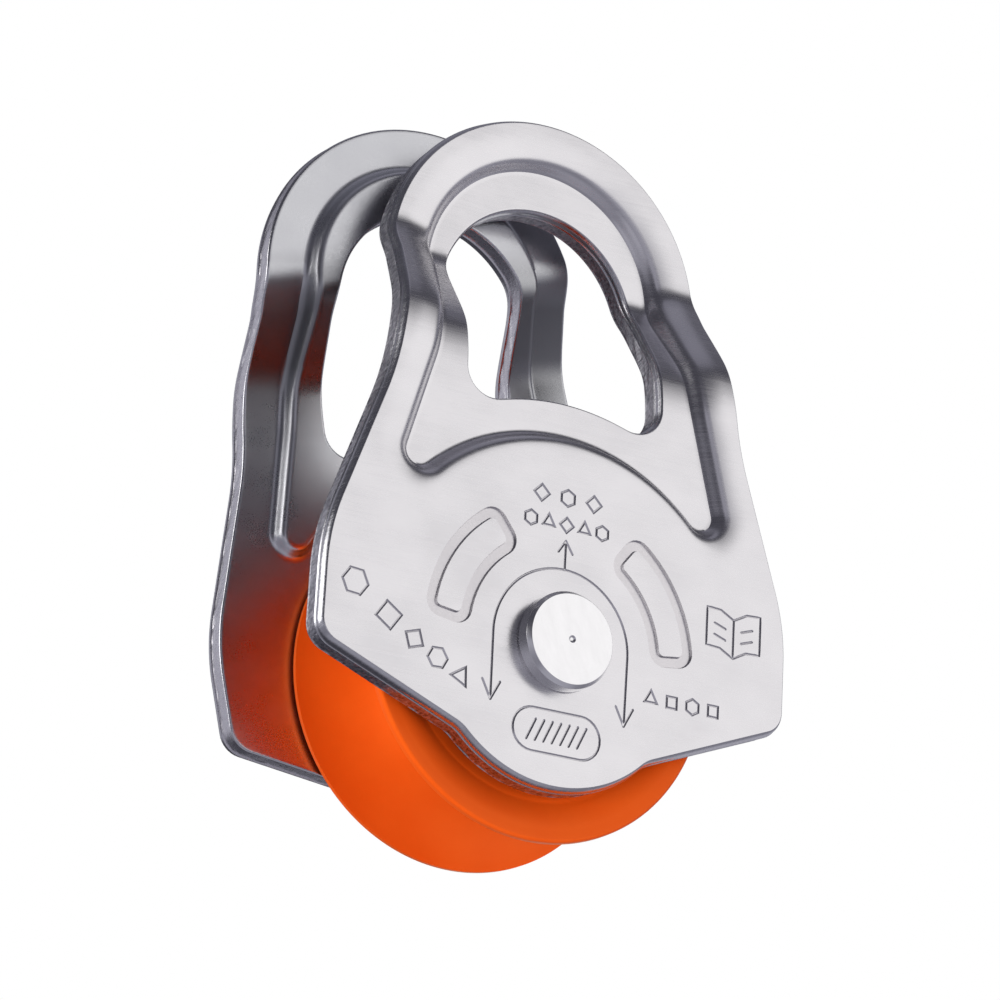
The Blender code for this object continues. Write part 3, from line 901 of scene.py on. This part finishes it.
def satin_metal(name, turn, light, dark, low, high, joggle_shade_factor=1.0):
    """Sheet metal as pressed, with a fine grain and soft clouds, and a painted shade that darkens its
    colour over the joggle's bend.
    """
    mat, tree, shader = shader_of(name)
    grain = noise(tree, place_of(tree, turn, (5200.0, 5200.0, 8200.0)), detail=3.0, rough=0.6)
    cloud = noise(tree, place_of(tree, turn, (150.0, 150.0, 210.0)), detail=3.0)
    set_values(shader, Metallic=1.0)
    tone = blend_colours(tree, spread(tree, cloud, 0.0, 1.0), dark, light)
    # painted shade: the dark tone dimmed over the joggle, where shade falls between the plates
    joggle_shaded_dark = tuple(c * joggle_shade_factor for c in dark)
    tree.links.new(blend_colours(tree, joggle_shade_zone(tree, turn), tone, joggle_shaded_dark), shader.inputs["Base Color"])
    tree.links.new(summed(tree, spread(tree, grain, low, high), spread(tree, cloud, -0.03, 0.04)),
                   shader.inputs["Roughness"])
    tree.links.new(bumped(tree, grain, 0.000006, 0.3), shader.inputs["Normal"])
    return mat


def torn_metal(name, turn, dark, light, low, high, relief):
    """Cut edge of the sheet, with slanted streaks across it."""
    mat, tree, shader = shader_of(name)
    where = node(tree, "SeparateXYZ", {0: place_of(tree, turn)})
    slant = [node(tree, "Math", {0: where.outputs[1], 1: 0.45, 2: where.outputs[k]},
                  operation="MULTIPLY_ADD").outputs[0] for k in (0, 2)]
    along = node(tree, "CombineXYZ", {0: slant[0], 1: where.outputs[1], 2: slant[1]}).outputs[0]
    drawn = node(tree, "Mapping", {"Vector": along, "Scale": (3600.0, 420.0, 3600.0)}).outputs[0]
    streaks = noise(tree, drawn, detail=3.0, rough=0.7)
    tone = blend_colours(tree, spread(tree, streaks, 0.0, 1.0), dark, light)
    set_values(shader, Metallic=1.0)
    tree.links.new(tone, shader.inputs["Base Color"])
    tree.links.new(spread(tree, streaks, low, high), shader.inputs["Roughness"])
    tree.links.new(bumped(tree, streaks, 0.00010, relief), shader.inputs["Normal"])
    return mat


def turned_metal(name, colour, low, high):
    """Lathe-turned metal with fine rings round the axle and faint handling marks."""
    mat, tree, shader = shader_of(name)
    where = node(tree, "SeparateXYZ", {0: place_of(tree)})
    flat_place = node(tree, "CombineXYZ", {0: where.outputs[0], 2: where.outputs[2]}).outputs[0]
    radius = node(tree, "VectorMath", {0: flat_place}, operation="LENGTH").outputs["Value"]
    ring = node(tree, "CombineXYZ", {0: radius, 1: where.outputs[1]}).outputs[0]
    scaled = node(tree, "Mapping", {"Vector": ring, "Scale": (5200.0, 5200.0, 1.0)}).outputs[0]
    rings = noise(tree, scaled, detail=2.0)
    marks = noise(tree, place_of(tree, 0.4, (900.0, 900.0, 260.0)), detail=4.0, rough=0.7)
    shade = tuple(c * 0.93 for c in colour)
    tone = blend_colours(tree, spread(tree, marks, 0.0, 1.0), shade, colour)
    tree.links.new(tone, shader.inputs["Base Color"])
    set_values(shader, Metallic=1.0)
    tree.links.new(summed(tree, spread(tree, rings, low, high), spread(tree, marks, -0.02, 0.03)),
                   shader.inputs["Roughness"])
    tree.links.new(bumped(tree, rings, 0.000006, 0.4), shader.inputs["Normal"])
    return mat


def moulded_plastic(name, light, dark, low, high, tint, sheen):
    """Moulded plastic with a fine grain and slight flow clouds."""
    mat, tree, shader = shader_of(name)
    grain = noise(tree, place_of(tree), 5200.0, 3.0, 0.6)
    cloud = noise(tree, place_of(tree), 160.0, 3.0, 0.55)
    tone = blend_colours(tree, spread(tree, cloud, 0.0, 1.0), dark, light)
    tree.links.new(tone, shader.inputs["Base Color"])
    tree.links.new(summed(tree, spread(tree, grain, low, high), spread(tree, cloud, -0.03, 0.04)),
                   shader.inputs["Roughness"])
    fine = bumped(tree, grain, 0.00002, 0.3)
    tree.links.new(bumped(tree, cloud, 0.00015, 0.25, fine), shader.inputs["Normal"])
    set_values(shader, IOR=1.5, Specular_Tint=(*tint, 1.0), Sheen_Weight=sheen,
               Sheen_Roughness=0.35, Sheen_Tint=(*tint, 1.0))
    return mat


def floor_material():
    """Plain pale matt floor."""
    mat, tree, shader = shader_of("pale_floor")
    cloud = noise(tree, node(tree, "TexCoord").outputs["Object"], 3.0, 2.0)
    pale = blend_colours(tree, cloud, (0.80, 0.80, 0.80), (0.84, 0.84, 0.84))
    tree.links.new(pale, shader.inputs["Base Color"])
    tree.links.new(pale, shader.inputs["Emission Color"])
    set_values(shader, Emission_Strength=0.5, Roughness=0.7)
    return mat


# ---- studio -----------------------------------------------------------------
FLOOR_Z = -0.60
FLOOR_HALF = 30.0
# soft lights and dark cards round the object: azimuth and elevation (0, 0 is straight in
# front, positive to its right), half-angle of the full patch, half-angle of its soft border, level
PATCHES = (
    (180.0, -30.0, 30.0, 55.0, 0.06),
    (175.0, 40.0, 18.0, 34.0, 0.22),
    (110.0, 15.0, 24.0, 42.0, 0.18),
    (153.0, 20.0, 14.0, 28.0, 0.10),
    (-155.0, 12.0, 14.0, 28.0, 0.40),
    (-55.0, 18.0, 23.0, 33.0, 0.06),
    (135.0, -15.0, 12.0, 25.0, 0.45),
    (-45.0, -27.0, 10.0, 19.0, 0.42),
    (-106.0, 12.0, 13.0, 21.0, 2.4),
    (112.0, 38.0, 10.0, 22.0, 0.28),
    (25.0, 76.0, 14.0, 22.0, 0.20),
    (105.0, 76.0, 7.0, 15.0, 0.25),
    (40.0, 9.0, 19.0, 34.0, 1.0),
)
# level of the surroundings against height, from straight down to straight up
LEVELS = ((0.0, 0.34), (0.07, 0.32), (0.16, 0.16), (0.38, 0.34), (0.58, 0.38), (0.70, 0.06),
          (0.92, 0.055), (0.965, 0.15), (1.0, 0.17))


# name, azimuth, elevation, distance, size, power and colour of each light
LIGHTS = (
    ("key", -66.0, -22.0, 0.6, 0.4, 3.5, (0.92, 1.0, 0.88)),
    ("fill", 30.0, -14.0, 0.9, 0.6, 2.2, (1.0, 0.92, 0.94)),
    ("top", 10.0, 75.0, 1.0, 0.8, 0.4, (1.0, 1.0, 1.0)),
)


def tinted(level):
    """Neutral colour of a level, slightly blue where it is dark."""
    return (level, level * 0.985, level * (1.0 + 0.28 * max(0.0, 0.9 - level)))


def direction(azimuth, elevation):
    """Unit vector to a place round the object, in degrees."""
    a, e = math.radians(azimuth), math.radians(elevation)
    return (math.sin(a) * math.cos(e), -math.cos(a) * math.cos(e), math.sin(e))


def surroundings(tree, way):
    """Colour of the studio in a direction: a ramp by height with the patches over it."""
    height = node(tree, "SeparateXYZ", {0: way}).outputs[2]
    share = node(tree, "MapRange", {"Value": height, "From Min": -1.0, "From Max": 1.0}).outputs["Result"]
    ramp_node = node(tree, "ValToRGB", {0: share})
    ramp_node.color_ramp.interpolation = "B_SPLINE"
    marks = ramp_node.color_ramp.elements
    while len(marks) < len(LEVELS):
        marks.new(0.5)
    for mark, (at, level) in zip(marks, LEVELS):
        mark.position = at
        mark.color = (*tinted(level), 1.0)
    colour = ramp_node.outputs[0]
    for azimuth, elevation, core, border, level in PATCHES:
        near = node(tree, "VectorMath", {0: way, 1: direction(azimuth, elevation)},
                    operation="DOT_PRODUCT")
        limits = {"Value": near.outputs["Value"], "From Min": math.cos(math.radians(border)),
                  "From Max": math.cos(math.radians(core))}
        patch = node(tree, "MapRange", limits, interpolation_type="SMOOTHSTEP").outputs["Result"]
        colour = blend_colours(tree, patch, colour, tinted(level))
    return colour


def build_world():
    """Soft studio surroundings, seen in the metal, with plain white behind the object."""
    world = bpy.data.worlds.new("studio")
    bpy.context.scene.world = world
    world.use_nodes = True
    tree = world.node_tree
    tree.nodes.clear()
    colour = surroundings(tree, node(tree, "TexCoord").outputs["Generated"])
    lit = node(tree, "Background", {"Color": colour, "Strength": 1.0})
    plain = node(tree, "Background", {"Color": (1.0, 1.0, 1.0, 1.0), "Strength": 1.0})
    seen = node(tree, "LightPath").outputs["Is Camera Ray"]
    mix = node(tree, "MixShader", {0: seen, 1: lit.outputs[0], 2: plain.outputs[0]})
    out = node(tree, "OutputWorld")
    tree.links.new(mix.outputs[0], out.inputs["Surface"])


def build_light(name, azimuth, elevation, reach, size, power, colour):
    """Soft square light aimed at the axle."""
    data = bpy.data.lights.new(name, "AREA")
    data.shape = "SQUARE"
    data.size = size
    data.energy = power
    data.color = colour
    obj = bpy.data.objects.new(name, data)
    bpy.context.scene.collection.objects.link(obj)
    way = Vector(direction(azimuth, elevation))
    obj.location = way * reach + Vector((0.0, 0.0, AXLE_Z))
    obj.rotation_mode = "QUATERNION"
    obj.rotation_quaternion = (-way).to_track_quat("-Z", "Y")
    obj.visible_glossy = False


def build_floor():
    """Plain pale floor below the hanging pulley."""
    mesh = bpy.data.meshes.new("floor")
    h = FLOOR_HALF
    square = [(-h, -h, FLOOR_Z), (h, -h, FLOOR_Z), (h, h, FLOOR_Z), (-h, h, FLOOR_Z)]
    mesh.from_pydata(square, [], [(0, 1, 2, 3)])
    mesh.materials.append(floor_material())
    obj = bpy.data.objects.new("floor", mesh)
    bpy.context.scene.collection.objects.link(obj)
    obj.visible_glossy = False
    obj.visible_diffuse = False


# ---- camera -----------------------------------------------------------------
LENS = 141.5
CAMERA_AZIMUTH = math.radians(28.76)    # turned to the right of straight ahead
CAMERA_RISE = math.radians(18.88)       # looking up
CAMERA_ROLL = math.radians(3.22)
CAMERA_FROM_AXLE = Vector((-201.55, -365.11, -122.66)) * MM


def build_camera():
    """Camera below and to the left of the pulley, looking up at it."""
    data = bpy.data.cameras.new("camera")
    data.sensor_width = 36.0
    data.lens = LENS
    data.clip_start, data.clip_end = 0.01, 50.0
    obj = bpy.data.objects.new("camera", data)
    bpy.context.scene.collection.objects.link(obj)
    a, e = CAMERA_AZIMUTH, CAMERA_RISE
    ahead = Vector((math.sin(a) * math.cos(e), math.cos(a) * math.cos(e), math.sin(e)))
    level = Vector((math.cos(a), -math.sin(a), 0.0))
    over = level.cross(ahead)
    right = level * math.cos(CAMERA_ROLL) + over * math.sin(CAMERA_ROLL)
    up = right.cross(ahead)
    turn = Matrix((right, up, -ahead)).transposed()
    obj.matrix_world = Matrix.Translation(CAMERA_FROM_AXLE + Vector((0.0, 0.0, AXLE_Z))) @ turn.to_4x4()
    bpy.context.scene.camera = obj


def fit(piece, body, cad_node):
    """The piece rides on a body and stands in for a CAD node, which is hidden."""
    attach(piece, body)
    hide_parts(cad_node)


# torn edge of each plate (dark, light, low and high roughness, relief), and its inner face
TORN_LOOKS = {"front": ((0.24, 0.24, 0.27), (0.84, 0.83, 0.86), 0.26, 0.46, 1.0),
              "rear": ((0.82, 0.81, 0.83), (0.90, 0.89, 0.91), 0.24, 0.34, 0.3)}
# inner face tones: the front one is a darker copy of the same metal, a painted shade for the shade between
# the plates
INNER_TONES_FRONT_SHADED = {"front": (0.40, 0.39, 0.41), "rear": (0.82, 0.83, 0.85)}


def plate_metals(label, swing):
    """Materials of a plate, in the order of its material slots."""
    inner = INNER_TONES_FRONT_SHADED[label]
    return [
        brushed_metal("brushed_" + label, swing, (0.86, 0.85, 0.86), (0.80, 0.79, 0.80)),
        torn_metal("sheared_edge_" + label, swing, (0.66, 0.66, 0.68), (0.78, 0.78, 0.80),
                   0.18, 0.28, 0.2),
        torn_metal("torn_edge_" + label, swing, *TORN_LOOKS[label]),
        # the inner faces get a painted shade over the joggle, 0.42 of their dark tone
        satin_metal("inner_face_" + label, swing, inner, tuple(c * 0.93 for c in inner),
                    0.27, 0.35, 0.42),
        satin_metal("pressed_groove_" + label, swing, (0.80, 0.78, 0.79), (0.76, 0.74, 0.75),
                    0.26, 0.34)]


def build_pieces():
    """Every visible piece of the pulley."""
    sheet = Sheet()
    for label, side, swing in (("front", -1.0, 0.0), ("rear", 1.0, SWING_REAR)):
        metals = plate_metals(label, swing)
        piece = build_plate(label + "_cheek_detail", side, swing, sheet, metals, side < 0.0)
        fit(piece, label + "_plate", label + "_cheek")
    plastic = moulded_plastic("orange_nylon", (0.90, 0.105, 0.008), (0.87, 0.092, 0.006), 0.30, 0.40,
                              (1.0, 0.5, 0.14), 0.35)
    fit(build_sheave(plastic), "wheel", "sheave")
    steel = turned_metal("polished_steel", (0.95, 0.95, 0.95), 0.10, 0.18)
    collar_steel = turned_metal("collar_steel", (0.90, 0.90, 0.90), 0.14, 0.22)
    pin, collar = build_axle(steel, collar_steel)
    fit(pin, "axle", "axle_pin")
    fit(collar, "axle", "axle_collar")
    mats = {"sleeve": turned_metal("ground_sleeve", (0.66, 0.66, 0.68), 0.22, 0.34),
            "bush": turned_metal("bronze_liner", (0.50, 0.36, 0.20), 0.32, 0.46),
            "acetal": moulded_plastic("acetal_black", (0.035, 0.035, 0.038), (0.025, 0.025, 0.027),
                                      0.38, 0.5, (1.0, 1.0, 1.0), 0.0)}
    for body, cad_node, slot_name, piece in build_bearings(mats):
        fit(piece, body, cad_node)


def corners(box):
    """Lowest and highest corner as plain lists."""
    return [list(box[0]), list(box[1])]


def main():
    """The whole scene."""
    bpy.context.scene.view_settings.view_transform = "Standard"
    build_camera()
    build_world()
    for light in LIGHTS:
        build_light(*light)
    build_floor()
    build_pieces()


main()
